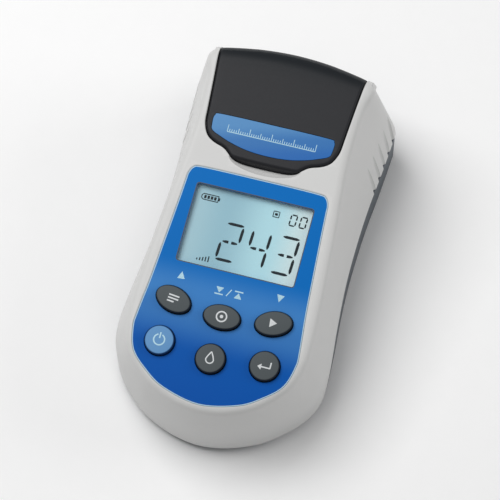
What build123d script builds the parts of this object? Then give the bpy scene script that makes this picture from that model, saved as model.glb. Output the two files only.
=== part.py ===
from build123d import *
import math
import os

os.makedirs("parts", exist_ok=True)

# ---------------------------------------------------------------- driving dimensions, mm
TILT = 12.6                 # slope of the display face
FACE_Z = 48.46              # height of the display face above the table at y = 0
PART_Z = 18.0               # parting line of the two shells, behind the front apron
APRON_Z = 3.2               # parting line under the front apron
BASE_Z = 1.0                # underside of the lower shell, the feet stand below it
WALL = 2.2                  # shell wall
LOWER_STEP = 0.35           # the lower shell stands back by this much
CREST_R = 9.0               # rounding from the display face into the back
CREST_Y = 49.0
BACK_SLOPE = 63.0
LID_T = 3.6                 # lid skin, from the outer surface
DECK_GAP = 0.45
DECK_T = 2.4
LID_CLEAR = 0.4
PIVOT_Y, PIVOT_Z = 58.7, 46.4
PIN_R = 1.0
PIN_BORE_R = 1.05
KNUCKLE_R = 2.6
KNUCKLE_X = 12.0
LUG_X = 16.0
TROUGH_R = 3.2
KNUCKLE_TROUGH_R = 3.8
VIAL_Y = 34.0
BORE_R = 12.75
CHAMBER_R = 15.2
DECK_HOLE_R = 13.4
CHAMBER_FLOOR = 5.4
BORE_TOP = 45.4
BEAM_Z = 24.0
WIN_W, WIN_H, WIN_V = 42.0, 28.6, -12.0
OVERLAY_T = 0.55
RECESS = 0.6
KEY_PROUD = 1.9
KEY_TRAVEL = 0.8
KEY_GAP = 0.3
OVAL = (6.5, 4.3)
ROUND_R = 5.15
BOARD_TOP = -8.0
BOARD_T = 1.6
CELL_R, CELL_L = 5.2, 44.5
CELL_X = (-27.0, -16.2, -5.4, 5.4, 16.2, 27.0)
CELL_Z = 8.95
BOX_Y0, BOX_Y1 = -46.6, 1.8

cosT = math.cos(math.radians(TILT))
sinT = math.sin(math.radians(TILT))
tanT = sinT / cosT

# half outlines, from the middle of the front round to the middle of the back (x, y)
BASE_OUT = [(0, -75.35), (8.8, -74.15), (16.6, -71.35), (23.6, -67.35), (32.1, -59.35), (36.9, -51.35),
            (38.4, -43.35), (37.9, -30), (36.6, -14), (36.05, -2.65), (36.05, 12), (36.5, 25), (37.6, 40),
            (38.3, 54), (38.2, 58.5), (35.5, 62.5), (28, 67.5), (15, 73.3), (0, 75.35)]
TOP_OUT = [(0, -74.1), (8.2, -73.2), (15.4, -70.6), (21.8, -66.6), (28.4, -59.6), (31.3, -51.6),
           (31.9, -43.5), (31.6, -30), (30.7, -14), (29.9, -2.65), (28.5, 12), (27.8, 25), (28.3, 40),
           (29.3, 48.5), (29.0, 51.0), (26.5, 52.6), (20.5, 53.7), (11, 54.9), (0, 55.5)]
LID_OUT = [(0, 13.3), (5.5, 13.35), (10.5, 13.5), (12.3, 13.9), (13.6, 14.9), (15.0, 16.0), (16.6, 16.75), (19.0, 17.5),
           (21.2, 18.6), (22.8, 20.1), (24.0, 22.4), (24.7, 25.0), (25.1, 30.0), (25.9, 40.0), (26.8, 50.0), (27.2, 56.0),
           (27.2, 80.0)]
PANEL = [(23.6, 8.1), (25.4, 5.5), (26.0, -6.0), (27.0, -21.7), (27.9, -35.0), (29.1, -47.5), (29.2, -53.0),
         (26.9, -60.8), (20.9, -66.6), (13.2, -71.2), (0, -74.0)]
KEYS = [("key_memory", -17.9, -40.6, "oval", -17.0), ("key_calibrate", 0.0, -42.7, "oval", 0.0),
        ("key_read", 17.9, -40.6, "oval", 17.0), ("key_power", -18.7, -55.7, "round", 0.0),
        ("key_test", 0.0, -57.7, "round", 0.0), ("key_enter", 18.7, -55.7, "round", 0.0)]
SCREWS = [(-28.0, -52.0), (28.0, -52.0), (-31.0, 10.0), (31.0, 10.0)]
FEET = [(-20.0, -60.5), (20.0, -60.5), (-28.0, 57.0), (28.0, 57.0)]
BOARD_FIX = [(-21.0, 8.6), (21.0, 8.6), (-21.0, -32.8), (21.0, -32.8)]

face = Plane(origin=(0, 0, FACE_Z), x_dir=(1, 0, 0), z_dir=(0, -sinT, cosT))


def dense(pts):
    """Half outline with a point added in the middle of each span, on a smooth curve."""
    ext = [(-pts[1][0], pts[1][1])] + pts + [(-pts[-2][0], pts[-2][1])]
    out = []
    for i in range(1, len(ext) - 2):
        out.append(ext[i])
        out.append(tuple((9 * (ext[i][k] + ext[i + 1][k]) - ext[i - 1][k] - ext[i + 2][k]) / 16 for k in (0, 1)))
    return out + [pts[-1]]


def half(pts, inset=0.0):
    """Right half outline moved inwards by inset."""
    out = []
    for i, (x, y) in enumerate(pts):
        ax, ay = pts[i - 1] if i else (-pts[1][0], pts[1][1])
        bx, by = pts[i + 1] if i + 1 < len(pts) else (-pts[-2][0], pts[-2][1])
        ln = math.hypot(bx - ax, by - ay)
        out.append((x - inset * (by - ay) / ln, y + inset * (bx - ax) / ln))
    out[0], out[-1] = (0, out[0][1]), (0, out[-1][1])
    return dense(out)


def closed(pts):
    """Closed outline from its right half."""
    return pts + [(-x, y) for x, y in pts[-2:0:-1]]


def top_outline(inset, above):
    """Outline on the plane that lies above the display face by above, in that plane's own axes."""
    out = []
    for (px, py), (tx, ty) in zip(half(BASE_OUT, inset), half(TOP_OUT, inset)):
        tz = FACE_Z + tanT * ty
        f0 = (PART_Z - FACE_Z) * cosT - py * sinT
        k = 1 - above / f0
        x, y, z = px + k * (tx - px), py + k * (ty - py), PART_Z + k * (tz - PART_Z)
        out.append((x, y * cosT + (z - FACE_Z) * sinT))
    return out


def side_profile(drop):
    """Side view region under the top surface, lowered by drop along the normal."""
    y1 = CREST_Y
    z1 = FACE_Z + tanT * y1
    cy, cz = y1 + CREST_R * sinT, z1 - CREST_R * cosT
    r = CREST_R - drop

    def at(deg):
        return (cy + r * math.sin(math.radians(deg)), cz + r * math.cos(math.radians(deg)))
    a, b, c = at(-TILT), at(25), at(BACK_SLOPE)
    f = (-95.0, a[1] - tanT * (a[0] + 95.0))
    g = (c[0] + 60 / math.tan(math.radians(BACK_SLOPE)), c[1] - 60)
    return a, b, c, f, g


def hull(inset, drop, floor):
    """Outer or inner form of the case: drafted side walls, sloping face and rounded crest."""
    with BuildPart() as h:
        with BuildSketch(Plane.XY.offset(PART_Z)):
            with BuildLine():
                Polyline(*closed(half(BASE_OUT, inset)), close=True)
            make_face()
        with BuildSketch(face.offset(3.0)):
            with BuildLine():
                Polyline(*closed(top_outline(inset, 3.0)), close=True)
            make_face()
        loft(ruled=True)
        add(under(drop), mode=Mode.INTERSECT)
        with BuildSketch(Plane.XY.offset(floor)):
            with BuildLine():
                Polyline(*closed(half(BASE_OUT, inset)), close=True)
            make_face()
        extrude(amount=PART_Z - floor)
    return h.part


def under(drop):
    """Everything under the top surface lowered by drop."""
    a, b, c, f, g = side_profile(drop)
    with BuildPart() as u:
        with BuildSketch(Plane.YZ):
            with BuildLine():
                Line(f, a)
                ThreePointArc(a, b, c)
                Polyline(c, g, (g[0], -70), (-95, -70), f)
            make_face()
        extrude(amount=60, both=True)
    return u.part


def below_parting(lift):
    """Region under the parting line, which falls to the table at the front apron."""
    with BuildPart() as u:
        with BuildSketch(Plane.YZ):
            with BuildLine():
                Line((95, PART_Z + lift), (-26, PART_Z + lift))
                Bezier((-26, PART_Z + lift), (-36, PART_Z + lift), (-42, APRON_Z + lift), (-53, APRON_Z + lift))
                Polyline((-53, APRON_Z + lift), (-95, APRON_Z + lift), (-95, -20), (95, -20), (95, PART_Z + lift))
            make_face()
        extrude(amount=60, both=True)
    return u.part


def lid_prism(clear, z_low):
    """Plan outline of the lid, grown by clear, as a tall prism."""
    with BuildPart() as u:
        with BuildSketch(Plane.XY.offset(z_low)):
            with BuildLine():
                Polyline(*(LID_OUT + [(-x, y) for x, y in LID_OUT[:0:-1]]), close=True)
            make_face()
            if clear:
                offset(amount=clear, kind=Kind.INTERSECTION)
        extrude(amount=70)
    return u.part


outer = hull(0.0, 0.0, BASE_Z)
outer_low = hull(LOWER_STEP, 0.0, BASE_Z)
inner = hull(WALL, WALL, BASE_Z + WALL)
low_zone = below_parting(0.0)

# ---------------------------------------------------------------- upper case
with BuildPart() as upper_case:
    add(outer)
    add(inner, mode=Mode.SUBTRACT)
    # deck under the lid, with the wall of the lid pocket
    with BuildPart(mode=Mode.PRIVATE) as deck:
        add(lid_prism(1.8, PIVOT_Z - 5.5))
        add(outer, mode=Mode.INTERSECT)
        add(under(LID_T + DECK_GAP + DECK_T), mode=Mode.SUBTRACT)
    add(deck.part)
    with BuildPart(mode=Mode.PRIVATE) as pivot_block:
        with BuildSketch(Plane.YZ.offset(-LUG_X)):
            with Locations((PIVOT_Y - 1.0, PIVOT_Z)):
                Circle(KNUCKLE_R + 3.0)
        extrude(amount=2 * LUG_X)
        add(outer, mode=Mode.INTERSECT)
    add(pivot_block.part)
    # screw bosses
    with BuildPart(mode=Mode.PRIVATE) as bosses:
        with BuildSketch(Plane.XY.offset(PART_Z)):
            with Locations(*SCREWS):
                Circle(3.2)
        extrude(amount=60)
        add(outer, mode=Mode.INTERSECT)
        add(under(1.5), mode=Mode.INTERSECT)
    add(bosses.part)
    # posts for the main board, hanging from the face
    with BuildSketch(face.offset(BOARD_TOP)):
        with Locations(*BOARD_FIX):
            Circle(2.1)
    extrude(amount=-BOARD_TOP - 1.0)
    add(low_zone, mode=Mode.SUBTRACT)
    # lid pocket
    with BuildPart(mode=Mode.PRIVATE) as pocket:
        add(lid_prism(0.0, PIVOT_Z - 2.6))
        add(under(LID_T + DECK_GAP), mode=Mode.SUBTRACT)
    add(pocket.part, mode=Mode.SUBTRACT)
    # hinge trough and the two lugs
    with BuildSketch(Plane.YZ.offset(-KNUCKLE_X - 0.35)):
        with Locations((PIVOT_Y, PIVOT_Z)):
            Circle(KNUCKLE_TROUGH_R)
    extrude(amount=2 * KNUCKLE_X + 0.7, mode=Mode.SUBTRACT)
    # room beside the lugs for the lid's lower corners
    with BuildSketch(Plane.YZ.offset(-LUG_X - 4.8), Plane.YZ.offset(LUG_X)):
        with Locations((PIVOT_Y, PIVOT_Z)):
            Circle(2.1)
    extrude(amount=4.8, mode=Mode.SUBTRACT)
    with BuildSketch(Plane.YZ.offset(-LUG_X), Plane.YZ.offset(KNUCKLE_X + 0.4)):
        with Locations((PIVOT_Y, PIVOT_Z)):
            Circle(KNUCKLE_R)
    extrude(amount=LUG_X - KNUCKLE_X - 0.4)
    with BuildSketch(Plane.YZ.offset(-LUG_X - 1)):
        with Locations((PIVOT_Y, PIVOT_Z)):
            Circle(PIN_R)
    extrude(amount=2 * LUG_X + 2, mode=Mode.SUBTRACT)
    # mouth of the sample chamber
    with BuildSketch(Plane.XY.offset(PART_Z)):
        with Locations((0, VIAL_Y)):
            Circle(DECK_HOLE_R)
    extrude(amount=50, mode=Mode.SUBTRACT)
    # finger scoop in front of the lid
    with BuildSketch(face.offset(0.6)):
        with Locations((0, 14.9)):
            Ellipse(12.9, 4.8)
    extrude(amount=-2.3, taper=38, mode=Mode.SUBTRACT)
    # seat of the keypad overlay
    with BuildSketch(face.offset(-RECESS)):
        with BuildLine():
            pts = PANEL + [(-x, v) for x, v in PANEL[-2::-1]]
            Line(pts[-1], pts[0])
            Spline(*pts, tangents=[(1, -0.35), (1, 0.35)])
        make_face()
    extrude(amount=4, mode=Mode.SUBTRACT)
    # display opening and key holes
    with BuildSketch(face.offset(1)):
        with Locations((0, WIN_V)):
            RectangleRounded(WIN_W + 3.4, WIN_H + 3.4, 1.2)
        for name, x, v, kind, rot in KEYS:
            with Locations(Location((x, v), rot)):
                if kind == "oval":
                    Ellipse(OVAL[0] + KEY_GAP, OVAL[1] + KEY_GAP)
                else:
                    Circle(ROUND_R + KEY_GAP)
    extrude(amount=-4.5, mode=Mode.SUBTRACT)
    # screw pilots
    with BuildSketch(Plane.XY.offset(PART_Z - 20)):
        with Locations(*SCREWS):
            Circle(1.2)
    extrude(amount=32, mode=Mode.SUBTRACT)
    with BuildSketch(face.offset(BOARD_TOP)):
        with Locations(*BOARD_FIX):
            Circle(0.8)
    extrude(amount=5, mode=Mode.SUBTRACT)
upper_case.part.label = "upper_case"
export_step(upper_case.part, "parts/upper_case.step")

# ---------------------------------------------------------------- lower case with the battery box
with BuildPart() as lower_case:
    add(outer_low)
    add(inner, mode=Mode.SUBTRACT)
    add(low_zone, mode=Mode.INTERSECT)
    with Locations((0, (BOX_Y0 + BOX_Y1) / 2, BASE_Z)):
        Box(68.6, BOX_Y1 - BOX_Y0 + 3.0, 15.2, align=(Align.CENTER, Align.CENTER, Align.MIN))
    with Locations((0, (BOX_Y0 + BOX_Y1) / 2, BASE_Z)):
        Box(65.6, BOX_Y1 - BOX_Y0, 13.7, align=(Align.CENTER, Align.CENTER, Align.MIN), mode=Mode.SUBTRACT)
    # screw columns
    with BuildSketch(Plane.XY.offset(BASE_Z)):
        with Locations(*SCREWS):
            Circle(3.6)
    extrude(amount=PART_Z - BASE_Z)
    with BuildSketch(Plane.XY.offset(BASE_Z)):
        with Locations(*SCREWS):
            Circle(2.9)
    extrude(amount=8.0, mode=Mode.SUBTRACT)
    with BuildSketch(Plane.XY.offset(BASE_Z)):
        with Locations(*SCREWS):
            Circle(1.7)
    extrude(amount=30, mode=Mode.SUBTRACT)
    # seats of the feet
    with BuildSketch(Plane.XY.offset(BASE_Z)):
        with Locations(*FEET):
            Circle(4.6)
    extrude(amount=1.2, mode=Mode.SUBTRACT)
    # ring that centres the sample chamber
    with BuildSketch(Plane.XY.offset(BASE_Z + 1.0)):
        with Locations((0, VIAL_Y)):
            Circle(CHAMBER_R + 2.0)
            Circle(CHAMBER_R + 0.1, mode=Mode.SUBTRACT)
    extrude(amount=5.0)
lower_case.part.label = "lower_case"
export_step(lower_case.part, "parts/lower_case.step")

# ---------------------------------------------------------------- lid over the sample chamber
lid_face = face.offset(0)
with BuildPart() as sample_lid:
    add(lid_prism(-LID_CLEAR, PIVOT_Z - 0.2))
    add(outer, mode=Mode.INTERSECT)
    add(under(LID_T), mode=Mode.SUBTRACT)
    for side in (-1, 1):
        x0 = -LUG_X - 0.5 if side < 0 else KNUCKLE_X
        with BuildSketch(Plane.YZ.offset(x0)):
            with Locations((PIVOT_Y, PIVOT_Z)):
                Circle(TROUGH_R)
        extrude(amount=LUG_X + 0.5 - KNUCKLE_X, mode=Mode.SUBTRACT)
    with BuildSketch(Plane.YZ.offset(-KNUCKLE_X)):
        with Locations((PIVOT_Y, PIVOT_Z)):
            Circle(KNUCKLE_R)
    extrude(amount=2 * KNUCKLE_X)
    with BuildSketch(Plane.YZ.offset(-KNUCKLE_X - 1)):
        with Locations((PIVOT_Y, PIVOT_Z)):
            Circle(PIN_BORE_R)
    extrude(amount=2 * KNUCKLE_X + 2, mode=Mode.SUBTRACT)
    # seat of the label, and groove of the seal underneath
    with BuildSketch(lid_face.offset(-0.4)):
        with BuildLine():
            Line((-21.9, 28.3), (21.9, 28.3))
            Line((21.9, 28.3), (21.6, 22.9))
            ThreePointArc((21.6, 22.9), (0, 16.9), (-21.6, 22.9))
            Line((-21.6, 22.9), (-21.9, 28.3))
        make_face()
    extrude(amount=3, mode=Mode.SUBTRACT)
    with BuildSketch(face.offset(-LID_T - 0.5)):
        with Locations((0, VIAL_Y / cosT - 1.0)):
            Circle(16.2)
            Circle(14.2, mode=Mode.SUBTRACT)
    extrude(amount=1.6, mode=Mode.SUBTRACT)
sample_lid.part.label = "sample_lid"
export_step(sample_lid.part, "parts/sample_lid.step")

with BuildPart() as lid_label:
    with BuildSketch(lid_face.offset(-0.38)):
        with BuildLine():
            Line((-21.8, 28.2), (21.8, 28.2))
            Line((21.8, 28.2), (21.5, 22.95))
            ThreePointArc((21.5, 22.95), (0, 17.0), (-21.5, 22.95))
            Line((-21.5, 22.95), (-21.8, 28.2))
        make_face()
    extrude(amount=0.36)
lid_label.part.label = "lid_label"
export_step(lid_label.part, "parts/lid_label.step")

with BuildPart() as lid_seal:
    with BuildSketch(face.offset(-LID_T - 0.3)):
        with Locations((0, VIAL_Y / cosT - 1.0)):
            Circle(16.1)
            Circle(14.3, mode=Mode.SUBTRACT)
    extrude(amount=1.35)
lid_seal.part.label = "lid_seal"
export_step(lid_seal.part, "parts/lid_seal.step")

with BuildPart() as hinge_pin:
    with BuildSketch(Plane.YZ.offset(-LUG_X)):
        with Locations((PIVOT_Y, PIVOT_Z)):
            Circle(PIN_R)
    extrude(amount=2 * LUG_X)
hinge_pin.part.label = "hinge_pin"
export_step(hinge_pin.part, "parts/hinge_pin.step")

# ---------------------------------------------------------------- keypad overlay and display
with BuildPart() as keypad_overlay:
    with BuildSketch(face.offset(-RECESS)):
        with BuildLine():
            inset = [(x - 0.2 * (1 if x > 0 else 0), v + (0.2 if v < -60 else -0.1 if v > 5 else 0)) for x, v in PANEL]
            pts = inset + [(-x, v) for x, v in inset[-2::-1]]
            Line(pts[-1], pts[0])
            Spline(*pts, tangents=[(1, -0.35), (1, 0.35)])
        make_face()
        with Locations((0, WIN_V)):
            RectangleRounded(WIN_W, WIN_H, 0.8, mode=Mode.SUBTRACT)
        for name, x, v, kind, rot in KEYS:
            with Locations(Location((x, v), rot)):
                if kind == "oval":
                    Ellipse(OVAL[0] + KEY_GAP, OVAL[1] + KEY_GAP, mode=Mode.SUBTRACT)
                else:
                    Circle(ROUND_R + KEY_GAP, mode=Mode.SUBTRACT)
    extrude(amount=OVERLAY_T)
keypad_overlay.part.label = "keypad_overlay"
export_step(keypad_overlay.part, "parts/keypad_overlay.step")

with BuildPart() as display_window:
    with BuildSketch(face.offset(-RECESS - 1.15)):
        with Locations((0, WIN_V)):
            RectangleRounded(WIN_W + 3.0, WIN_H + 3.0, 1.0)
    extrude(amount=1.1)
display_window.part.label = "display_window"
export_step(display_window.part, "parts/display_window.step")

with BuildPart() as display_glass:
    with BuildSketch(face.offset(-4.2)):
        with Locations((0, WIN_V)):
            RectangleRounded(WIN_W + 2.4, WIN_H + 2.4, 0.4)
    extrude(amount=2.2)
display_glass.part.label = "display_glass"
export_step(display_glass.part, "parts/display_glass.step")

with BuildPart() as display_holder:
    with BuildSketch(face.offset(BOARD_TOP)):
        with Locations((0, WIN_V)):
            RectangleRounded(WIN_W + 7.0, WIN_H + 7.0, 1.5)
    extrude(amount=-BOARD_TOP - WALL - 0.1)
    with BuildSketch(face.offset(-4.2)):
        with Locations((0, WIN_V)):
            Rectangle(WIN_W + 2.5, WIN_H + 2.5)
    extrude(amount=4, mode=Mode.SUBTRACT)
    with BuildSketch(face.offset(BOARD_TOP)):
        with Locations((0, WIN_V)):
            Rectangle(WIN_W - 4, WIN_H - 6)
    extrude(amount=5, mode=Mode.SUBTRACT)
display_holder.part.label = "display_holder"
export_step(display_holder.part, "parts/display_holder.step")

# ---------------------------------------------------------------- main board, domes and board screws
with BuildPart() as main_board:
    with BuildSketch(face.offset(BOARD_TOP - BOARD_T)):
        with Locations((0, -25.6)):
            RectangleRounded(49.0, 73.2, 3.0)
        with Locations(*BOARD_FIX):
            Circle(1.15, mode=Mode.SUBTRACT)
    extrude(amount=BOARD_T)
main_board.part.label = "main_board"
export_step(main_board.part, "parts/main_board.step")

with BuildPart() as board_parts:
    with BuildSketch(face.offset(BOARD_TOP - BOARD_T - 1.8)):
        with Locations((0, -20)):
            Rectangle(14, 14)
        with Locations((-15, -8), (15, -8)):
            Rectangle(6, 5)
        with Locations((-14, -44), (0, -44), (14, -44)):
            Rectangle(4, 3)
    extrude(amount=1.8)
board_parts.part.label = "board_parts"
export_step(board_parts.part, "parts/board_parts.step")

with BuildPart() as switch_domes:
    with BuildSketch(face.offset(BOARD_TOP)):
        with Locations(*[(x, v) for name, x, v, kind, rot in KEYS]):
            Circle(3.0)
    extrude(amount=0.6, taper=30)
switch_domes.part.label = "switch_domes"
export_step(switch_domes.part, "parts/switch_domes.step")

with BuildPart() as board_screws:
    with BuildSketch(face.offset(BOARD_TOP - BOARD_T - 1.2)):
        with Locations(*BOARD_FIX):
            Circle(1.9)
    extrude(amount=1.2)
    with BuildSketch(face.offset(BOARD_TOP - BOARD_T)):
        with Locations(*BOARD_FIX):
            Circle(0.8)
    extrude(amount=5.0)
board_screws.part.label = "board_screws"
export_step(board_screws.part, "parts/board_screws.step")

# ---------------------------------------------------------------- six keys
for name, x, v, kind, rot in KEYS:
    with BuildPart() as key:
        with BuildSketch(face.offset(-3.0)):
            with Locations(Location((x, v), rot)):
                if kind == "oval":
                    Ellipse(OVAL[0], OVAL[1])
                else:
                    Circle(ROUND_R)
        extrude(amount=3.0 + KEY_PROUD)
        fillet(key.faces().sort_by(Axis.Z)[-1].edges(), radius=0.7)
        with BuildSketch(face.offset(-4.2)):
            with Locations(Location((x, v), rot)):
                if kind == "oval":
                    Ellipse(OVAL[0] + 0.8, OVAL[1] + 0.8)
                else:
                    Circle(ROUND_R + 0.9)
        extrude(amount=1.2)
        with BuildSketch(face.offset(-6.3)):
            with Locations((x, v)):
                Circle(1.8)
        extrude(amount=2.2)
    key.part.label = name
    export_step(key.part, "parts/" + name + ".step")

# ---------------------------------------------------------------- sample chamber and its optics
with BuildPart() as sample_chamber:
    with BuildSketch(Plane.XY.offset(BASE_Z + WALL)):
        with Locations((0, VIAL_Y)):
            Circle(CHAMBER_R)
    extrude(amount=60)
    for dx, dy in ((-1, 0), (1, 0), (0, -1)):
        with BuildSketch(Plane(origin=(0, VIAL_Y, BEAM_Z), z_dir=(dx, dy, 0))):
            Circle(4.2)
        extrude(amount=20.0)
    add(under(LID_T + DECK_GAP + DECK_T + 0.02), mode=Mode.INTERSECT)
    with BuildSketch(Plane.XY.offset(CHAMBER_FLOOR)):
        with Locations((0, VIAL_Y)):
            Circle(BORE_R)
    extrude(amount=60, mode=Mode.SUBTRACT)
    # the bore's mouth is level, with a wider lead-in above it
    with BuildSketch(Plane.XY.offset(BORE_TOP)):
        with Locations((0, VIAL_Y)):
            Circle(DECK_HOLE_R)
    extrude(amount=30, mode=Mode.SUBTRACT)
    for dx, dy in ((-1, 0), (1, 0), (0, -1)):
        with BuildSketch(Plane(origin=(0, VIAL_Y, BEAM_Z), z_dir=(dx, dy, 0))):
            Circle(1.5)
        extrude(amount=20.0, mode=Mode.SUBTRACT)
        with BuildSketch(Plane(origin=(15.0 * dx, VIAL_Y + 15.0 * dy, BEAM_Z), z_dir=(dx, dy, 0))):
            Circle(2.6)
        extrude(amount=6.0, mode=Mode.SUBTRACT)
sample_chamber.part.label = "sample_chamber"
export_step(sample_chamber.part, "parts/sample_chamber.step")

for name, dx, dy in (("infrared_emitter", -1, 0), ("transmission_detector", 1, 0), ("scatter_detector", 0, -1)):
    with BuildPart() as optic:
        with BuildSketch(Plane(origin=(15.3 * dx, VIAL_Y + 15.3 * dy, BEAM_Z), z_dir=(dx, dy, 0))):
            Circle(2.5)
        extrude(amount=5.0)
        with BuildSketch(Plane(origin=(20.05 * dx, VIAL_Y + 20.05 * dy, BEAM_Z), z_dir=(dx, dy, 0))):
            Circle(2.9)
        extrude(amount=1.0)
        fillet(optic.faces().filter_by(GeomType.PLANE).sort_by_distance((0, VIAL_Y, BEAM_Z))[0].edges(), radius=1.2)
    optic.part.label = name
    export_step(optic.part, "parts/" + name + ".step")

with BuildPart() as sensor_board:
    with BuildSketch(Plane(origin=(0, VIAL_Y - 21.05, BEAM_Z), z_dir=(0, -1, 0))):
        RectangleRounded(26, 14, 1.0)
    extrude(amount=1.2)
sensor_board.part.label = "sensor_board"
export_step(sensor_board.part, "parts/sensor_board.step")

# ---------------------------------------------------------------- batteries, contacts and cover
with BuildPart() as batteries:
    for i, x in enumerate(CELL_X):
        y0 = -44.9
        with BuildSketch(Plane.XZ.offset(-y0)):
            with Locations((x, CELL_Z)):
                Circle(CELL_R)
        extrude(amount=-(CELL_L - 1.0))
        with BuildSketch(Plane.XZ.offset(-(y0 + CELL_L - 1.0))):
            with Locations((x, CELL_Z)):
                Circle(1.9)
        extrude(amount=-1.0)
batteries.part.label = "batteries"
export_step(batteries.part, "parts/batteries.step")

with BuildPart() as battery_contacts:
    for x in CELL_X:
        with Locations((x, BOX_Y0, CELL_Z), ):
            Box(8.4, 0.5, 8.4, align=(Align.CENTER, Align.MIN, Align.CENTER))
        with Locations((x, BOX_Y1, CELL_Z), ):
            Box(8.4, 0.5, 8.4, align=(Align.CENTER, Align.MAX, Align.CENTER))
        with BuildSketch(Plane.XZ.offset(-(BOX_Y0 + 0.5))):
            with Locations((x, CELL_Z)):
                Circle(3.2)
        extrude(amount=-1.15, taper=25)
battery_contacts.part.label = "battery_contacts"
export_step(battery_contacts.part, "parts/battery_contacts.step")

with BuildPart() as battery_cover:
    with Locations((0, (BOX_Y0 + BOX_Y1) / 2, BASE_Z)):
        Box(64.8, BOX_Y1 - BOX_Y0 - 0.8, 1.8, align=(Align.CENTER, Align.CENTER, Align.MIN))
    with Locations(*[(0, BOX_Y0 + 5.5 + 1.9 * i, BASE_Z) for i in range(4)]):
        Box(14.0, 0.9, 0.5, align=(Align.CENTER, Align.CENTER, Align.MIN), mode=Mode.SUBTRACT)
    with Locations((-31.6, -22.4, BASE_Z + 1.8), (31.6, -22.4, BASE_Z + 1.8)):
        Box(1.2, 20.0, 2.2, align=(Align.CENTER, Align.CENTER, Align.MIN))
battery_cover.part.label = "battery_cover"
export_step(battery_cover.part, "parts/battery_cover.step")

# ---------------------------------------------------------------- feet and case screws
with BuildPart() as rubber_feet:
    with BuildSketch(Plane.XY):
        with Locations(*FEET):
            Circle(4.5)
    extrude(amount=BASE_Z + 1.2)
rubber_feet.part.label = "rubber_feet"
export_step(rubber_feet.part, "parts/rubber_feet.step")

with BuildPart() as case_screws:
    with BuildSketch(Plane.XY.offset(BASE_Z + 8.0 - 2.2)):
        with Locations(*SCREWS):
            Circle(2.7)
    extrude(amount=2.2)
    with BuildSketch(Plane.XY.offset(BASE_Z + 8.0)):
        with Locations(*SCREWS):
            Circle(1.2)
    extrude(amount=18.0)
    for x, y in SCREWS:
        with Locations((x, y, BASE_Z + 8.0 - 2.2)):
            Box(3.2, 0.6, 1.6, mode=Mode.SUBTRACT)
            Box(0.6, 3.2, 1.6, mode=Mode.SUBTRACT)
case_screws.part.label = "case_screws"
export_step(case_screws.part, "parts/case_screws.step")

print("body length, width, height:", outer.bounding_box())
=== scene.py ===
import math
import bpy
import numpy as np
from mathutils import Matrix, Vector


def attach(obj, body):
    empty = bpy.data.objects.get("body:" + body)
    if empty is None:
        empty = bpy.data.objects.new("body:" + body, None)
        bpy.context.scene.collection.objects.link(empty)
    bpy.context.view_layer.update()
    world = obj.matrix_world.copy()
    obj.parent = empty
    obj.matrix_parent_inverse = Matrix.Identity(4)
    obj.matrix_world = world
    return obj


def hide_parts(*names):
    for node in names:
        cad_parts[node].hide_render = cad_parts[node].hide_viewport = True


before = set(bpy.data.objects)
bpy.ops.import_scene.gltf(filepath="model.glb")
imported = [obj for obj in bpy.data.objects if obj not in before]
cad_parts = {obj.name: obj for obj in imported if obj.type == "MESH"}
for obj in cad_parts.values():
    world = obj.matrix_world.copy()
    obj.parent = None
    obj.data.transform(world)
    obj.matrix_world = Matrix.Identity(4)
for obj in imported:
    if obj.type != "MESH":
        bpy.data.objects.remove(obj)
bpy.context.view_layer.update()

MM = 0.001

# ------------------------------------------------------------------ dimensions of the case, mm
TILT, FACE_Z, PART_Z, APRON_Z, BASE_Z, WALL = 12.6, 48.46, 18.0, 3.2, 1.0, 2.2
CREST_R, CREST_Y, BACK_SLOPE, LID_T = 9.0, 49.0, 63.0, 3.6
CREST_BOW = 2.6
PIVOT_Y, PIVOT_Z = 58.7, 46.4
VIAL_Y = 34.0
WIN_W, WIN_H, WIN_V = 42.0, 28.6, -12.0
cosT, sinT = math.cos(math.radians(TILT)), math.sin(math.radians(TILT))
tanT = sinT / cosT
BASE_OUT = [(0, -75.35), (8.8, -74.15), (16.6, -71.35), (23.6, -67.35), (32.1, -59.35), (36.9, -51.35),
            (38.4, -43.35), (37.9, -30), (36.6, -14), (36.05, -2.65), (36.05, 12), (36.5, 25), (37.6, 40),
            (38.3, 54), (38.2, 58.5), (35.5, 62.5), (28, 67.5), (15, 73.3), (0, 75.35)]
TOP_OUT = [(0, -74.1), (8.2, -73.2), (15.4, -70.6), (21.8, -66.6), (28.4, -59.6), (31.3, -51.6),
           (31.9, -43.5), (31.6, -30), (30.7, -14), (29.9, -2.65), (28.5, 12), (27.8, 25), (28.3, 40),
           (30.0, 47.2), (29.4, 50.6), (26.6, 52.9), (20.5, 54.0), (11, 55.0), (0, 55.5)]
LID_OUT = [(0, 13.3), (5.5, 13.35), (10.5, 13.5), (12.3, 13.9), (13.6, 14.9), (15.0, 16.0), (16.6, 16.75), (19.0, 17.5),
           (21.2, 18.6), (22.8, 20.1), (24.0, 22.4), (24.7, 25.0), (25.1, 30.0), (25.9, 40.0), (26.35, 45.0),
           (26.8, 50.0), (27.05, 53.0), (27.2, 56.0), (27.2, 58.5), (27.2, 61.0), (27.2, 64.0), (27.2, 80.0)]
PANEL = [(0, 8.5), (12.0, 8.5), (21.6, 8.3), (24.0, 7.6), (25.3, 5.2), (25.55, 2.0), (26.0, -6.0), (27.0, -21.7), (27.9, -35.0),
         (29.1, -47.5), (29.2, -53.0), (26.9, -60.8), (20.9, -66.6), (13.2, -71.2), (0, -74.0)]
KEYS = [("key_memory", -17.9, -40.6, 6.5, 4.3, -17.0), ("key_calibrate", 0.0, -42.7, 6.5, 4.3, 0.0),
        ("key_read", 17.9, -40.6, 6.5, 4.3, 17.0), ("key_power", -18.7, -55.7, 5.15, 5.15, 0.0),
        ("key_test", 0.0, -57.7, 5.15, 5.15, 0.0), ("key_enter", 18.7, -55.7, 5.15, 5.15, 0.0)]


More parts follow.
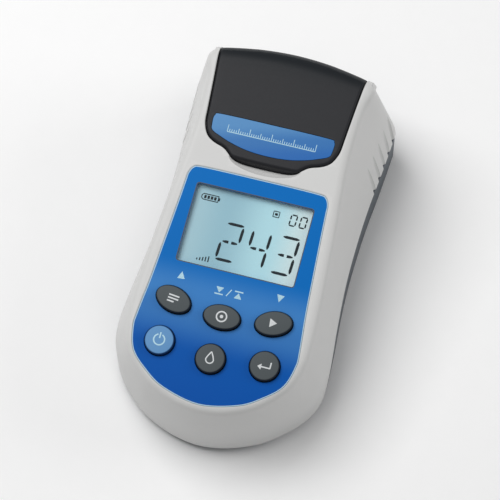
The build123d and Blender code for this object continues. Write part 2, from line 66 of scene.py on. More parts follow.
# ------------------------------------------------------------------ outlines and surfaces
def loop(half, k=8, straight=()):
    """Closed smooth outline from its right half: index 0 is the front middle, n/2 the back middle."""
    pts = [np.array(p, float) for p in half]
    ext = [pts[1] * (-1, 1)] + pts + [pts[-2] * (-1, 1)]
    out = []
    for i in range(1, len(ext) - 2):
        a, b, c, d = ext[i - 1], ext[i], ext[i + 1], ext[i + 2]
        for j in range(k):
            t = j / k
            if i - 1 in straight:
                out.append(b + (c - b) * t)
            else:
                out.append(0.5 * (2 * b + (c - a) * t + (2 * a - 5 * b + 4 * c - d) * t * t + (3 * b - 3 * c + d - a) * t ** 3))
    out.append(pts[-1])
    out[0][0] = out[-1][0] = 0.0
    right = np.array(out)
    left = right[-2:0:-1] * (-1, 1)
    return np.vstack([right, left])


def normals2(p):
    d = np.roll(p, -1, 0) - np.roll(p, 1, 0)
    n = np.stack([d[:, 1], -d[:, 0]], 1)
    return n / np.maximum(np.linalg.norm(n, axis=1, keepdims=True), 1e-9)


def grow(p, by):
    """Outline moved outwards by a distance."""
    q = p + normals2(p) * (by if np.ndim(by) == 0 else np.asarray(by)[:, None])
    h = len(p) // 2
    q[0, 0] = q[h, 0] = 0.0
    return q


def ztop(y, drop=0.0, x=0.0):
    """Height of the sloping face and rounded crest, lowered by drop along the normal; the crest bows in plan."""
    y = np.asarray(y, float)
    crest = CREST_Y - CREST_BOW * (np.minimum(np.abs(x), 32.0) / 27.0) ** 2
    z1 = FACE_Z + tanT * crest
    cy, cz = crest + CREST_R * sinT, z1 - CREST_R * cosT
    r = CREST_R - drop
    ya = cy - r * sinT
    yc = cy + r * math.sin(math.radians(BACK_SLOPE))
    za = cz + r * cosT
    zc = cz + r * math.cos(math.radians(BACK_SLOPE))
    arc = cz + np.sqrt(np.maximum(r * r - (y - cy) ** 2, 1e-9))
    return np.where(y < ya, za + tanT * (y - ya), np.where(y < yc, arc, zc - (y - yc) * math.tan(math.radians(BACK_SLOPE))))


def zpart(y):
    """Height of the parting line, which falls to the table at the front apron."""
    t = np.linspace(0, 1, 60)
    by = (1 - t) ** 3 * -26 + 3 * (1 - t) ** 2 * t * -36 + 3 * (1 - t) * t ** 2 * -42 + t ** 3 * -53
    bz = (1 - t) ** 3 * PART_Z + 3 * (1 - t) ** 2 * t * PART_Z + 3 * (1 - t) * t ** 2 * APRON_Z + t ** 3 * APRON_Z
    return np.interp(y, by[::-1], bz[::-1])


def mesh_object(name, verts, faces, scale=MM):
    me = bpy.data.meshes.new(name)
    me.from_pydata([tuple(v) for v in np.asarray(verts, float) * scale], [], faces)
    me.validate()
    ob = bpy.data.objects.new(name, me)
    bpy.context.scene.collection.objects.link(ob)
    return ob


def rings_solid(name, rings, cols=8, caps=(None, None)):
    """Closed solid from matching loops; each end is closed by rows that run across in X, on the end's own surface."""
    n = len(rings[0])
    h = n // 2
    verts = [v for r in rings for v in r]
    faces = []
    for j in range(len(rings) - 1):
        for i in range(n):
            a, b = j * n + i, j * n + (i + 1) % n
            faces.append((a, b, b + n, a + n))
    for end, flip, height in ((0, True, caps[0]), (len(rings) - 1, False, caps[1])):
        base = end * n
        rows = []
        for i in range(1, h):
            p, q = rings[end][i], rings[end][n - i]
            row = [base + i]
            for c in range(1, cols):
                row.append(len(verts))
                m = p + (q - p) * (c / cols)
                verts.append(m if height is None else np.array([m[0], m[1], float(height(m[0], m[1]))]))
            row.append(base + n - i)
            rows.append(row)
        new = []
        for r0, r1 in zip(rows, rows[1:]):
            for c in range(cols):
                new.append((r0[c], r1[c], r1[c + 1], r0[c + 1]))
        for c in range(cols):
            new.append((base, rows[0][c], rows[0][c + 1]))
            new.append((base + h, rows[-1][c + 1], rows[-1][c]))
        faces += [f[::-1] for f in new] if flip else new
    return mesh_object(name, verts, faces)


def face_to_world(p):
    """Points (x, v, height) on the display face to the model's axes."""
    p = np.asarray(p, float)
    return np.stack([p[:, 0], p[:, 1] * cosT - p[:, 2] * sinT, FACE_Z + p[:, 1] * sinT + p[:, 2] * cosT], 1)


def prism(name, outline, levels, cols=6, centre=(0, 0), turn=0.0):
    """Solid over an outline drawn on the display face; levels are (height, growth)."""
    rings = []
    ct, st = math.cos(math.radians(turn)), math.sin(math.radians(turn))
    for hgt, by in levels:
        q = grow(outline, by)
        q = np.stack([q[:, 0] * ct - q[:, 1] * st + centre[0], q[:, 0] * st + q[:, 1] * ct + centre[1]], 1)
        rings.append(face_to_world(np.column_stack([q, np.full(len(q), hgt)])))
    return rings_solid(name, rings, cols)


def ellipse(a, b, n=96):
    t = np.arange(n) / n * 2 * math.pi - math.pi / 2
    p = np.stack([a * np.cos(t), b * np.sin(t)], 1)
    p[0, 0] = p[n // 2, 0] = 0
    return p


def rounded_rect(w, h, r, n=10):
    half = [(0, -h / 2), (w / 4, -h / 2)]
    for i in range(n + 1):
        a = -math.pi / 2 + math.pi / 2 * i / n
        half.append((w / 2 - r + r * math.cos(a), -h / 2 + r + r * math.sin(a)))
    half.append((w / 2, 0))
    for i in range(n + 1):
        a = math.pi / 2 * i / n
        half.append((w / 2 - r + r * math.cos(a), h / 2 - r + r * math.sin(a)))
    half += [(w / 4, h / 2), (0, h / 2)]
    right = np.array(half, float)
    return np.vstack([right, right[-2:0:-1] * (-1, 1)])


def turned(name, profile, n=96, axis="z", centre=(0, 0, 0)):
    """Closed turned solid from (radius, height) points, first and last on the axis."""
    verts, faces = [], []
    t = np.arange(n) / n * 2 * math.pi
    for r, z in profile[1:-1]:
        verts += [(r * math.cos(a), r * math.sin(a), z) for a in t]
    m = len(profile) - 2
    for j in range(m - 1):
        for i in range(n):
            a, b = j * n + i, j * n + (i + 1) % n
            faces.append((a, b, b + n, a + n))
    lo, hi = len(verts), len(verts) + 1
    verts += [(0, 0, profile[0][1]), (0, 0, profile[-1][1])]
    for i in range(n):
        faces.append((lo, (i + 1) % n, i))
        faces.append((hi, (m - 1) * n + i, (m - 1) * n + (i + 1) % n))
    v = np.array(verts, float)
    if axis == "x":
        v = v[:, [2, 0, 1]]
    return mesh_object(name, v + np.array(centre, float), faces)


def block(name, lo, hi, r=0.0):
    """Box with rounded upright edges, built from loops."""
    w, h = hi[0] - lo[0], hi[1] - lo[1]
    o = rounded_rect(w, h, max(r, 0.05), 6) + ((lo[0] + hi[0]) / 2, (lo[1] + hi[1]) / 2)
    return rings_solid(name, [np.column_stack([o, np.full(len(o), z)]) for z in (lo[2], hi[2])], 4)


def combine(a, b, how):
    """Boolean of a with b, kept in a; b is removed."""
    before = len(a.data.polygons)
    for solver in ("MANIFOLD", "EXACT"):
        m = a.modifiers.new("b", "BOOLEAN")
        m.operation, m.object, m.solver = how, b, solver
        dg = bpy.context.evaluated_depsgraph_get()
        me = bpy.data.meshes.new_from_object(a.evaluated_get(dg))
        a.modifiers.remove(m)
        same = len(me.polygons) == before and how != "INTERSECT"
        if len(me.polygons) > 10 and not same:
            a.data = me
            break
        print("solver", solver, "gave", len(me.polygons), "for", a.name, how, b.name)
    bpy.data.objects.remove(b)
    return a


def cut(a, b):
    return combine(a, b, "DIFFERENCE")


def join(a, b):
    return combine(a, b, "UNION")


def shade(ob, angle=32.0, weighted=True):
    ob.data.shade_smooth()
    ob.data.set_sharp_from_angle(angle=math.radians(angle))
    if weighted:
        w = ob.modifiers.new("normals", "WEIGHTED_NORMAL")
        w.mode, w.weight, w.keep_sharp = "FACE_AREA", 50, True
    return ob


def quarter(r, top, n=5):
    """(height, inset) steps of a rounded upper edge of radius r ending at height top."""
    return [(top - r + r * math.sin(math.pi / 2 * i / n), -(r - r * math.cos(math.pi / 2 * i / n))) for i in range(n + 1)]


def flare(r, top, n=5):
    """(height, growth) steps of a cutter that leaves a rounded lip of radius r at height top."""
    out = []
    for i in range(n + 1):
        a = math.pi / 2 * i / n
        out.append((top - r + r * math.sin(a), r - r * math.cos(a)))
    return out + [(top + 3.0, r + 3.0)]


base0, top0 = loop(BASE_OUT), loop(TOP_OUT)
NP = len(base0)


def case_rings(inset, drop, low, fillet, rows=None):
    """Loops from a lower edge up the drafted wall, round the top edge and onto the top surface."""
    b, t = grow(base0, -inset), grow(top0, -inset)
    tz = FACE_Z + tanT * t[:, 1]
    B = np.column_stack([b, np.full(NP, PART_Z)])
    T = np.column_stack([t, tz])
    lo, hi = np.full(NP, 0.2), np.full(NP, 1.3)
    for _ in range(40):
        k = (lo + hi) / 2
        P = B + k[:, None] * (T - B)
        over = P[:, 2] > ztop(P[:, 1], drop, P[:, 0])
        hi = np.where(over, k, hi)
        lo = np.where(over, lo, k)
    ke = (lo + hi) / 2
    E = B + ke[:, None] * (T - B)
    ln = np.linalg.norm(T - B, axis=1)
    fillet = fillet + 1.3 * np.exp(-((E[:, 1] - 50.5) / 4.5) ** 2) * (np.abs(E[:, 0]) > 15)
    rings = []
    z0 = low(b[:, 1]) if callable(low) else np.full(NP, low)
    soft = 3.0
    zw = E[:, 2] - fillet * (T - B)[:, 2] / ln
    for f in (rows or (0, 0.02, 0.08, 0.2, 0.35, 0.5, 0.65, 0.8, 0.92, 0.98, 1.0)):
        z = z0 + (zw - z0) * f
        s = z - PART_Z
        lift = np.where(s > soft, s, np.where(s > -soft, (s + soft) ** 2 / (4 * soft), 0.0))
        k = lift / (tz - PART_Z)
        rings.append(np.column_stack([b + k[:, None] * (t - b), z]))
    inward = -normals2(E[:, :2])
    end = E[:, :2] + inward * fillet[:, None]
    end[0, 0] = end[NP // 2, 0] = 0
    e2 = np.column_stack([end, ztop(end[:, 1], drop, end[:, 0])])
    s0 = rings[-1]
    for i in range(1, 8):
        u = i / 7
        rings.append((1 - u) ** 2 * s0 + 2 * u * (1 - u) * E + u * u * e2)
    for r in rings:
        r[0, 0] = r[NP // 2, 0] = 0.0
    return rings


def lid_loop():
    p = LID_OUT + [(13.0, 80.0), (0, 80.0)]
    return loop(p, 6, straight=(17, 18, 19, 20, 21, 22))


lid0 = lid_loop()


def top_prism(name, growth, low_drop, floor, edge, above=None, cols=16):
    """Solid over the lid's outline: from a lowered copy of the top surface up to the surface itself, or past it."""
    rings = []
    base = grow(lid0, growth)
    hgt = lambda q, d: np.maximum(ztop(q[:, 1], d, q[:, 0]), floor)
    low = lambda x, y: max(float(ztop(y, low_drop, x)), floor)
    rings.append(np.column_stack([base, hgt(base, low_drop)]))
    if above is None:
        for i in range(7):
            a = math.pi / 2 * i / 6
            q = grow(lid0, growth - edge * (1 - math.cos(a)))
            z = np.maximum(ztop(q[:, 1], 0.03, q[:, 0]) - edge * (1 - math.sin(a)), floor + 0.1 * (i + 1))
            rings.append(np.column_stack([q, z]))
        high = lambda x, y: max(float(ztop(y, 0.03, x)), floor + 0.7)
    else:
        for i in range(6):
            a = math.pi / 2 * i / 5
            q = grow(lid0, growth + edge * (1 - math.cos(a)))
            z = np.maximum(ztop(q[:, 1], 0.0, q[:, 0]) - edge * (1 - math.sin(a)), floor + 0.1 * (i + 1))
            rings.append(np.column_stack([q, z]))
        q = grow(lid0, growth + edge + above)
        rings.append(np.column_stack([q, np.maximum(ztop(q[:, 1]) + above, floor + above)]))
        high = None
    return rings_solid(name, rings, cols, (low, high))


# ------------------------------------------------------------------ materials
def lin(r, g=None, b=None):
    c = (r, r, r) if g is None else (r, g, b)
    out = [((v / 255 + 0.055) / 1.055) ** 2.4 if v / 255 > 0.04045 else v / 255 / 12.92 for v in c]
    return (*out, 1.0)


def material(name, colour, rough=0.5, grain=900.0, bump=0.05, vary=0.04, spec=0.5, metal=0.0, coat=0.0, alpha=1.0,
             wear=0.0, wear_colour=None, gradient=None, mottle=120.0, aniso=0.0, streak=None):
    m = bpy.data.materials.new(name)
    m.use_nodes = True
    nt = m.node_tree
    N, L = nt.nodes, nt.links
    p = N["Principled BSDF"]
    p.inputs["Metallic"].default_value = metal
    p.inputs["Specular IOR Level"].default_value = spec
    p.inputs["Coat Weight"].default_value = coat
    p.inputs["Coat Roughness"].default_value = 0.12
    p.inputs["Alpha"].default_value = alpha
    tc = N.new("ShaderNodeTexCoord")
    src = tc.outputs["Object"]
    if streak:
        mp = N.new("ShaderNodeMapping")
        mp.inputs["Scale"].default_value = streak
        L.new(src, mp.inputs["Vector"])
        src = mp.outputs["Vector"]
    fine = N.new("ShaderNodeTexNoise")
    fine.inputs["Scale"].default_value = grain
    fine.inputs["Detail"].default_value = 3.0
    fine.inputs["Roughness"].default_value = 0.6
    L.new(src, fine.inputs["Vector"])
    broad = N.new("ShaderNodeTexNoise")
    broad.inputs["Scale"].default_value = mottle
    broad.inputs["Detail"].default_value = 4.0
    L.new(tc.outputs["Object"], broad.inputs["Vector"])
    dark = tuple(c * (1 - vary) for c in colour[:3]) + (1.0,)
    light = tuple(min(1.0, c * (1 + vary)) for c in colour[:3]) + (1.0,)
    mix = N.new("ShaderNodeMix")
    mix.data_type = "RGBA"
    L.new(broad.outputs["Fac"], mix.inputs["Factor"])
    mix.inputs["A"].default_value = dark
    mix.inputs["B"].default_value = light
    last = mix.outputs["Result"]
    if gradient:
        # gradient: (origin, direction, stops) along an object axis, in metres
        o, d, stops = gradient
        sub = N.new("ShaderNodeVectorMath"); sub.operation = "SUBTRACT"
        sub.inputs[1].default_value = o
        L.new(tc.outputs["Object"], sub.inputs[0])
        dot = N.new("ShaderNodeVectorMath"); dot.operation = "DOT_PRODUCT"
        dot.inputs[1].default_value = d
        L.new(sub.outputs["Vector"], dot.inputs[0])
        ramp = N.new("ShaderNodeValToRGB")
        ramp.color_ramp.interpolation = "EASE"
        while len(ramp.color_ramp.elements) < len(stops):
            ramp.color_ramp.elements.new(0.5)
        for e, (at, col) in zip(ramp.color_ramp.elements, stops):
            e.position, e.color = at, col
        L.new(dot.outputs["Value"], ramp.inputs["Fac"])
        g = N.new("ShaderNodeMix"); g.data_type = "RGBA"; g.blend_type = "MIX"
        L.new(broad.outputs["Fac"], g.inputs["Factor"])
        soft = N.new("ShaderNodeMix"); soft.data_type = "RGBA"; soft.blend_type = "MULTIPLY"
        soft.inputs["Factor"].default_value = 1.0
        L.new(ramp.outputs["Color"], soft.inputs["A"])
        soft.inputs["B"].default_value = (1 - vary, 1 - vary, 1 - vary, 1)
        L.new(ramp.outputs["Color"], g.inputs["A"])
        L.new(soft.outputs["Result"], g.inputs["B"])
        last = g.outputs["Result"]
    if wear:
        geo = N.new("ShaderNodeNewGeometry")
        r = N.new("ShaderNodeMapRange")
        r.inputs["From Min"].default_value = 0.53
        r.inputs["From Max"].default_value = 0.62
        r.inputs["To Max"].default_value = wear
        L.new(geo.outputs["Pointiness"], r.inputs["Value"])
        w = N.new("ShaderNodeMix"); w.data_type = "RGBA"
        L.new(r.outputs["Result"], w.inputs["Factor"])
        L.new(last, w.inputs["A"])
        w.inputs["B"].default_value = wear_colour or light
        last = w.outputs["Result"]
    L.new(last, p.inputs["Base Color"])
    rr = N.new("ShaderNodeMapRange")
    rr.inputs["To Min"].default_value = max(0.02, rough - 0.07)
    rr.inputs["To Max"].default_value = min(1.0, rough + 0.07)
    L.new(fine.outputs["Fac"], rr.inputs["Value"])
    L.new(rr.outputs["Result"], p.inputs["Roughness"])
    if bump:
        bp = N.new("ShaderNodeBump")
        bp.inputs["Strength"].default_value = bump
        bp.inputs["Distance"].default_value = 0.0001
        L.new(fine.outputs["Fac"], bp.inputs["Height"])
        L.new(bp.outputs["Normal"], p.inputs["Normal"])
    return m


def give(ob, mat, body=None, replaces=None):
    ob.data.materials.clear()
    ob.data.materials.append(mat)
    if body:
        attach(ob, body)
    if replaces:
        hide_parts(*replaces)
    return ob


face_dir = Vector((0, cosT, sinT)) * 1000
M = {
    "white": material("case_plastic", lin(211, 211, 210), 0.48, 1500, 0.10, 0.015, spec=0.4, wear=0.25, wear_colour=lin(224, 224, 223)),
    "dark": material("lower_plastic", lin(72, 80, 88), 0.5, 1300, 0.16, 0.05, wear=0.3, wear_colour=lin(98, 106, 114)),
    # painted shade: lid_plastic darkens over the lid's back crest (y about 44 to 54 mm), where the crest turns away
    # from the light
    "lid": material("lid_plastic", lin(34, 35, 39), 0.5, 1400, 0.14, 0.04, spec=0.26, wear=0.3, wear_colour=lin(50, 51, 55),
                    gradient=((0, 0.038, 0), (0, 62.0, 0), [(0, lin(34, 35, 39)), (0.4, lin(33, 34, 38)), (0.9, lin(20, 25, 30)), (1, lin(20, 25, 30))])),
    "label": material("label_film", lin(92, 140, 192), 0.36, 2200, 0.012, 0.02, spec=0.2, coat=0.0,
                      gradient=((0.0, 0.0165, 0), (-14.0, 62.0, 0), [(0, lin(34, 104, 180)), (0.35, lin(52, 116, 182)), (0.75, lin(84, 142, 196)), (1, lin(88, 144, 198))])),
    "overlay": material("overlay_film", lin(0, 96, 180), 0.42, 2600, 0.012, 0.02, spec=0.08, coat=0.0,
                        gradient=((0, -0.0740 * cosT, 0), (0, 12.2 / cosT, 0), [(0.0, lin(0, 82, 170)), (0.20, lin(0, 86, 174)),
                                  (0.36, lin(56, 120, 190)), (0.46, lin(62, 130, 200)), (0.60, lin(0, 108, 190)), (1.0, lin(0, 110, 192))])),
    "rim": material("overlay_rim", lin(176, 208, 228), 0.4, 2000, 0.02, 0.03),
    # window_line: partly a thin printed border round the display opening, partly painted shadow for the crisp shade
    # line along the recess edge
    "line": material("window_line", lin(56, 66, 78), 0.5, 2000, 0.02, 0.05),
    "print": material("screen_print", lin(176, 216, 232), 0.4, 2500, 0.03, 0.05),
    "legend": material("key_print", lin(214, 218, 220), 0.5, 2500, 0.05, 0.06),
    # painted shade: key_rubber and key_rubber_blue are dark on each key's flanks, up to about 1.6 mm above the face,
    # and take the rubber colour only on the top
    "key": material("key_rubber", lin(78, 84, 87), 0.6, 2200, 0.18, 0.05, spec=0.3,
                    gradient=(tuple(face_to_world([(0, 0, 1.0)])[0] * MM), (0, -sinT / 0.0007, cosT / 0.0007), [(0, lin(30, 36, 42)), (0.82, lin(36, 42, 48)), (0.985, lin(74, 81, 84)), (1, lin(77, 84, 87))])),
    "key_blue": material("key_rubber_blue", lin(106, 152, 198), 0.6, 2200, 0.15, 0.04, spec=0.3,
                         gradient=(tuple(face_to_world([(0, 0, 1.0)])[0] * MM), (0, -sinT / 0.0007, cosT / 0.0007), [(0, lin(16, 56, 102)), (0.82, lin(22, 64, 110)), (0.985, lin(88, 140, 192)), (1, lin(98, 150, 200))])),
    # painted light: display_reflector lightens from left to right across the display, nearly to white at its right
    # edge, standing in for how light falls on it
    "lcd": material("display_reflector", lin(172, 205, 216), 0.5, 5000, 0.02, 0.02, spec=0.2, coat=0.0, mottle=60,
                    gradient=((-0.021, 0, 0), (23.8, 0, 0), [(0, lin(182, 220, 231)), (0.3, lin(164, 208, 223)), (0.7, lin(196, 242, 252)), (1.0, lin(234, 255, 255))])),
    "segment": material("display_segment", lin(8, 8, 10), 0.6, 3000, 0.0, 0.05, spec=0.1),
    "window": material("window_clear", lin(120, 140, 150), 0.08, 3000, 0.0, 0.01, alpha=0.06, spec=0.3),
    "black": material("moulded_black", lin(26, 26, 28), 0.62, 1200, 0.2, 0.1),
    "seal": material("seal_rubber", lin(22, 22, 23), 0.75, 1800, 0.3, 0.12),
    "foot": material("foot_rubber", lin(32, 32, 34), 0.8, 1500, 0.35, 0.12),
    "steel": material("bright_steel", lin(176, 178, 182), 0.28, 700, 0.12, 0.06, metal=1.0, streak=(1, 12, 1)),
    "nickel": material("nickel_strip", lin(196, 194, 188), 0.24, 800, 0.08, 0.05, metal=1.0, streak=(8, 1, 1)),
    "board": material("solder_mask", lin(24, 92, 52), 0.3, 600, 0.12, 0.16, coat=0.3, mottle=400),
    "chip": material("chip_black", lin(30, 30, 32), 0.5, 1600, 0.3, 0.1),
    "epoxy_a": material("emitter_epoxy", lin(84, 92, 122), 0.15, 900, 0.02, 0.1, coat=0.5),
    "epoxy_b": material("detector_epoxy", lin(36, 34, 42), 0.15, 900, 0.02, 0.1, coat=0.5),
    "cell": material("cell_sleeve", lin(52, 58, 64), 0.25, 1200, 0.05, 0.06, coat=0.4,
                     gradient=((0, -0.045, 0), (0, 22.4, 0), [(0, lin(60, 62, 66)), (0.68, lin(58, 62, 66)), (0.72, lin(188, 150, 84)), (1, lin(192, 156, 90))])),
}

# ------------------------------------------------------------------ upper case
outer = rings_solid("outer_form", case_rings(0.02, 0.0, zpart, 2.4), 20, (None, lambda x, y: ztop(y, 0.0, x)))
outer_copy = outer.copy(); outer_copy.data = outer.data.copy()
bpy.context.scene.collection.objects.link(outer_copy)
upper = outer
upper.name = "upper_shell"
inner = rings_solid("inner_form", case_rings(WALL, WALL, lambda y: zpart(y) - 4.0, 1.4, (0, 0.25, 0.5, 0.75, 1.0)), 12, (None, lambda x, y: ztop(y, WALL, x)))
cut(upper, inner)
deck = top_prism("deck", 1.8, 6.45, 40.5, 0.3, None)
deck2 = top_prism("deck_trim", 6.0, 0.9, 30.0, 0.1, above=14.0)
cut(deck, deck2)
join(upper, deck)
join(upper, turned("pivot_block", [(0, -16), (4.4, -16), (4.4, 16), (0, 16)], 64, "x", (0, 55.9, 45.2)))
join(upper, prism("scoop_back", ellipse(14.6, 5.2, 96), [(-5.6, -0.4), (-5.2, 0), (-1.0, 0)], 6, (0, 15.1)))
cut(upper, top_prism("pocket", 0.0, 4.05, 43.8, 0.45, above=8.0))
cut(upper, turned("trough", [(0, -12.35), (3.8, -12.35), (3.8, 12.35), (0, 12.35)], 72, "x", (0, PIVOT_Y, PIVOT_Z)))
for x0 in (-16.0, 12.4):
    join(upper, turned("lug", [(0, x0), (2.45, x0), (2.6, x0 + 0.15), (2.6, x0 + 3.45), (2.45, x0 + 3.6), (0, x0 + 3.6)], 64, "x", (0, PIVOT_Y, PIVOT_Z)))
cut(upper, turned("pin_way", [(0, -17), (1.03, -17), (1.03, 17), (0, 17)], 48, "x", (0, PIVOT_Y, PIVOT_Z)))
cut(upper, turned("mouth", [(0, 30), (13.4, 30), (13.4, 80), (0, 80)], 128, "z", (0, VIAL_Y, 0)))
# finger scoop: a shallow dish that runs out on the face
n_s = 15
levels = []
for i in range(n_s + 1):
    a = i / n_s
    levels.append((-3.3 * math.cos(a * math.pi / 2) ** 1.1, -4.4 * (1 - a) ** 1.3))
dish = ellipse(13.2, 4.9, 120)
rings = []
for hgt, by in levels + [(2.5, 1.6)]:
    k = 1 + by / 6.0
    q = dish * (max(k, 0.12) if by < 0 else 1 + by / 10.0)
    if by < 0:
        q = np.stack([dish[:, 0] * (1 + by / 11.0), dish[:, 1] * max(k, 0.12)], 1)
    rings.append(face_to_world(np.column_stack([q[:, 0], q[:, 1] + 14.9, np.full(len(q), hgt)])))
cut(upper, rings_solid("scoop", rings, 6))
panel0 = loop(PANEL[::-1], 6)
cut(upper, prism("seat", panel0, [(-0.62, 0.0)] + flare(0.5, 0.0)))
cut(upper, prism("opening", rounded_rect(45.4, 32.0, 1.2), [(-5, 0), (2, 0)], 6, (0, WIN_V)))
for name, x, v, a, b, rot in KEYS:
    cut(upper, prism("hole", ellipse(a + 0.3, b + 0.3), [(-4, 0), (2, 0)], 4, (x, v), rot))


def wall_at(y, z, inset=0.0):
    """Distance of the side wall from the middle plane at a height."""
    h = NP // 2 - 40
    k = max(0.0, (z - PART_Z)) / (FACE_Z + tanT * top0[8:h, 1] - PART_Z)
    q = base0[8:h] + k[:, None] * (top0[8:h] - base0[8:h])
    return float(np.interp(y, q[:, 1], q[:, 0])) - inset


def flute(y, z_low, z_high, radius, depth, side):
    """Grip groove up the side wall: deep at the parting, running out at its top."""
    verts, faces = [], []
    nseg, nr = 16, 32
    for j in range(nseg + 1):
        f = j / nseg
        z = z_low + (z_high - z_low) * f
        g = min(1.0, f * 1.25)
        d = depth * (1 - g ** 3) - 0.25 * g
        cx = wall_at(y, z) + radius - d
        for i in range(nr):
            t = 2 * math.pi * i / nr
            verts.append((side * (cx + radius * math.cos(t)), y + radius * 0.62 * math.sin(t), z))
    for j in range(nseg):
        for i in range(nr):
            a, b = j * nr + i, j * nr + (i + 1) % nr
            faces.append((a, b, b + nr, a + nr) if side > 0 else (a, a + nr, b + nr, b))
    lo, hi = list(range(nr)), list(range(nseg * nr, (nseg + 1) * nr))
    faces.append(tuple(lo[::-1] if side > 0 else lo))
    faces.append(tuple(hi if side > 0 else hi[::-1]))
    return mesh_object("flute", verts, faces)


for side in (-1, 1):
    for y in (31.8, 37.4, 43.0, 48.6, 54.2):
        cut(upper, flute(y, PART_Z - 2.0, 41.0, 2.4, 0.95, side))
shade(upper, 30)
give(upper, M["white"], "case", ["upper_case"])

# ------------------------------------------------------------------ lower case
lo0 = grow(base0, -0.37)
rings = []
for i in range(7):
    a = math.pi / 2 * i / 6
    q = grow(lo0, -1.6 * (1 - math.sin(a)))
    rings.append(np.column_stack([q, np.full(NP, BASE_Z + 1.6 - 1.6 * math.cos(a))]))
for f in (0.1, 0.5, 0.9, 0.985):
    z = np.maximum(rings[6][:, 2] + (zpart(lo0[:, 1]) - 0.03 - rings[6][:, 2]) * f, BASE_Z + 1.62 + 0.05 * f)
    rings.append(np.column_stack([lo0, z]))
q = grow(lo0, -0.2)
rings.append(np.column_stack([q, np.maximum(zpart(q[:, 1]) - 0.02, BASE_Z + 1.75)]))
lower = rings_solid("lower_shell", rings, 10)
li = grow(base0, -2.6)
hollow = rings_solid("hollow", [np.column_stack([li, np.full(NP, 3.2)]), np.column_stack([li, np.full(NP, 30.0)])], 6)
cut(lower, hollow)
join(lower, block("box_out", (-34.3, -48.1, 1.3), (34.3, 3.3, 16.2), 1.0))
cut(lower, block("box_in", (-32.8, -46.6, 0.0), (32.8, 1.8, 14.7), 1.2))
for x, y in ((-28, -52), (28, -52), (-31, 10), (31, 10)):
    join(lower, turned("column", [(0, 1.4), (3.6, 1.4), (3.6, 17.6 if y > 0 else zpart(y) + 0.0), (0, 17.6 if y > 0 else zpart(y) + 0.0)], 48, "z", (x, y, 0)))
    cut(lower, turned("well", [(0, 0), (3.5, 0), (3.2, 1.0), (2.9, 1.35), (2.9, 9.0), (0, 9.0)], 48, "z", (x, y, 0)))
for x, y in ((-20, -60.5), (20, -60.5), (-28, 57), (28, 57)):
    cut(lower, turned("seat", [(0, 0), (4.6, 0), (4.6, 2.2), (0, 2.2)], 64, "z", (x, y, 0)))
shade(lower, 30)
give(lower, M["dark"], "case", ["lower_case"])

# ------------------------------------------------------------------ lid
lid = top_prism("lid_shell", -0.42, LID_T, 46.2, 0.9, None)
combine(lid, outer_copy, "INTERSECT")
cut(lid, turned("lug_room", [(0, -16.5), (3.2, -16.5), (3.2, -12.0), (0, -12.0)], 64, "x", (0, PIVOT_Y, PIVOT_Z)))
cut(lid, turned("lug_room", [(0, 12.0), (3.2, 12.0), (3.2, 16.5), (0, 16.5)], 64, "x", (0, PIVOT_Y, PIVOT_Z)))
join(lid, turned("knuckle", [(0, -12), (2.4, -12), (2.58, -11.8), (2.58, 11.8), (2.4, 12), (0, 12)], 72, "x", (0, PIVOT_Y, PIVOT_Z)))
cut(lid, turned("pin_way", [(0, -13), (1.07, -13), (1.07, 13), (0, 13)], 48, "x", (0, PIVOT_Y, PIVOT_Z)))
label_half = [(0, 17.2), (7.5, 17.7), (14.0, 19.2), (18.6, 20.9), (20.6, 21.8), (21.6, 22.7), (21.9, 24.0), (22.1, 26.6), (21.7, 28.0), (20.4, 28.7), (10.0, 28.9), (0, 28.9)]
label0 = loop(label_half, 6)
cut(lid, prism("label_seat", label0, [(-0.42, 0.0)] + flare(0.18, -0.03)))
groove = turned("seal_seat", [(0, -0.5), (16.2, -0.5), (16.2, 1.1), (0, 1.1)], 96)
plug = turned("seal_core", [(0, -0.7), (14.2, -0.7), (14.2, 1.3), (0, 1.3)], 96)
cut(groove, plug)
groove.data.transform(Matrix.Translation(Vector(face_to_world([(0, VIAL_Y / cosT - 1.0, -LID_T)])[0]) * MM) @ Matrix.Rotation(math.radians(TILT), 4, "X"))
cut(lid, groove)
shade(lid, 30)
give(lid, M["lid"], "lid", ["sample_lid"])
label = prism("label_film", label0, [(-0.38, -0.06), (-0.12, -0.06), (-0.05, -0.1), (-0.03, -0.2)])
shade(label, 30)
give(label, M["label"], "lid", ["lid_label"])


# ------------------------------------------------------------------ printed marks
def strips(name, lines, height, centre=(0, 0), turn=0.0, dome=None):
    """Printed marks on the display face: each line is (points, width), laid down as a narrow band."""
    verts, faces = [], []
    ct, st = math.cos(math.radians(turn)), math.sin(math.radians(turn))
    for pts, width in lines:
        pts = [np.array(p, float) for p in pts]
        fine = [pts[0]]
        for a, b in zip(pts, pts[1:]):
            m = max(1, int(np.linalg.norm(b - a) / 0.25))
            fine += [a + (b - a) * (i + 1) / m for i in range(m)]
        p = np.array(fine)
        d = np.gradient(p, axis=0)
        d /= np.maximum(np.linalg.norm(d, axis=1, keepdims=True), 1e-9)
        nrm = np.stack([-d[:, 1], d[:, 0]], 1)
        w = np.full(len(p), width / 2) if np.ndim(width) == 0 else np.interp(np.linspace(0, 1, len(p)), np.linspace(0, 1, len(width)), np.array(width) / 2)
        start = len(verts)
        for i in range(len(p)):
            for s in (-1, 0, 1):
                q = p[i] + nrm[i] * w[i] * s
                h = height + (dome(q) if dome else 0.0)
                verts.append((q[0] * ct - q[1] * st + centre[0], q[0] * st + q[1] * ct + centre[1], h))
        for i in range(len(p) - 1):
            a = start + 3 * i
            faces += [(a, a + 3, a + 4, a + 1), (a + 1, a + 4, a + 5, a + 2)]
    ob = mesh_object(name, face_to_world(verts), faces)
    me = ob.data
    me.update()
    up = Vector((0, -sinT, cosT))
    if sum(f.normal.dot(up) for f in me.polygons) < 0:
        me.flip_normals()
    return ob


